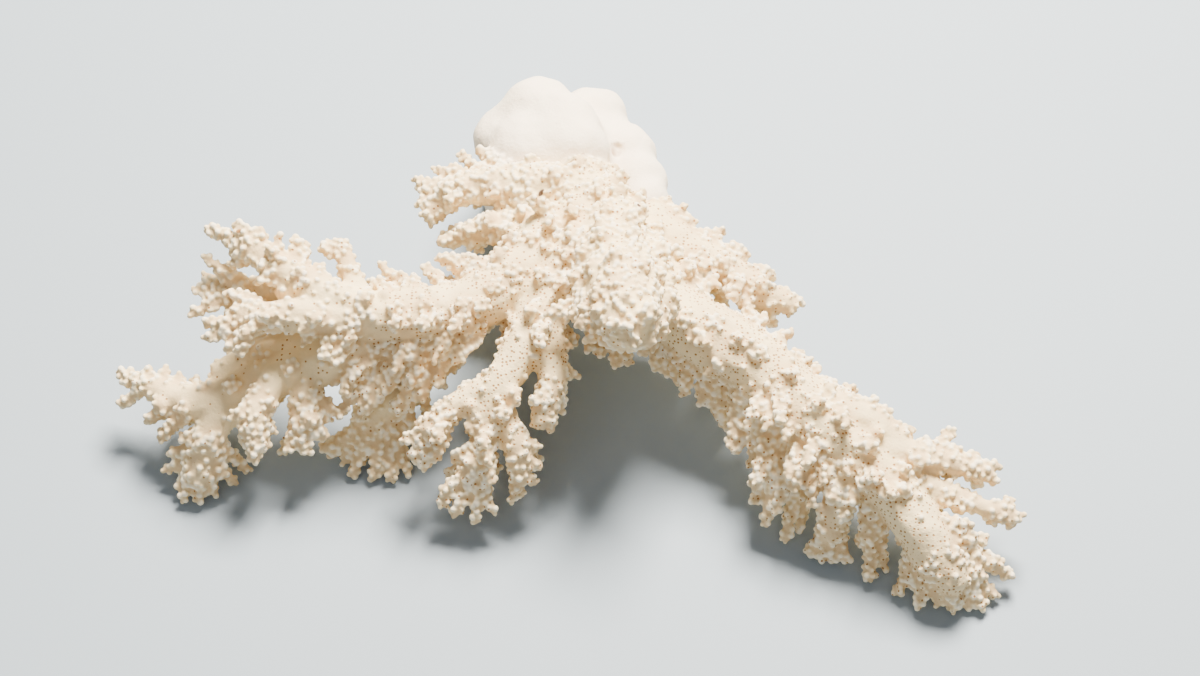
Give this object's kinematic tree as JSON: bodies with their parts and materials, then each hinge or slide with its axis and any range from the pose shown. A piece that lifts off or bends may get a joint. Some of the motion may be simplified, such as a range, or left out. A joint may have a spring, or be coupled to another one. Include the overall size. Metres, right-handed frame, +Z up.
{
  "type": "branching coral",
  "caption": "Bleached branching coral with a smooth lobed holdfast cut off flat and thick limbs crowded with short knobbly branchlets, lying on a surface.",
  "frame": {"origin": "middle of the flat cut under the holdfast, at the height of the surface that the coral lies on", "axes": "+Z up from the resting surface; +X to the right as seen from the front, along the spread of the left and right limbs; the branches reach towards -Y"},
  "size_m": [0.3617, 0.2438, 0.0921],
  "materials": {
    "coral": "matt bleached coral skeleton, cream with paler worn tips, fine brown-rimmed pores where the limbs are smooth"
  },
  "bodies": {
    "root": {"holdfast": "coral", "trunk": "coral", "front_stub": "coral", "crown_tuft": "coral", "left_limb": "coral", "left_under_fan": "coral", "left_upper_fan": "coral", "left_lower_limb": "coral", "middle_branch": "coral", "right_spur": "coral", "right_limb": "coral", "right_finger_bunch": "coral", "right_limb_end": "coral", "right_upper_fingers": "coral"}
  },
  "joints": []
}
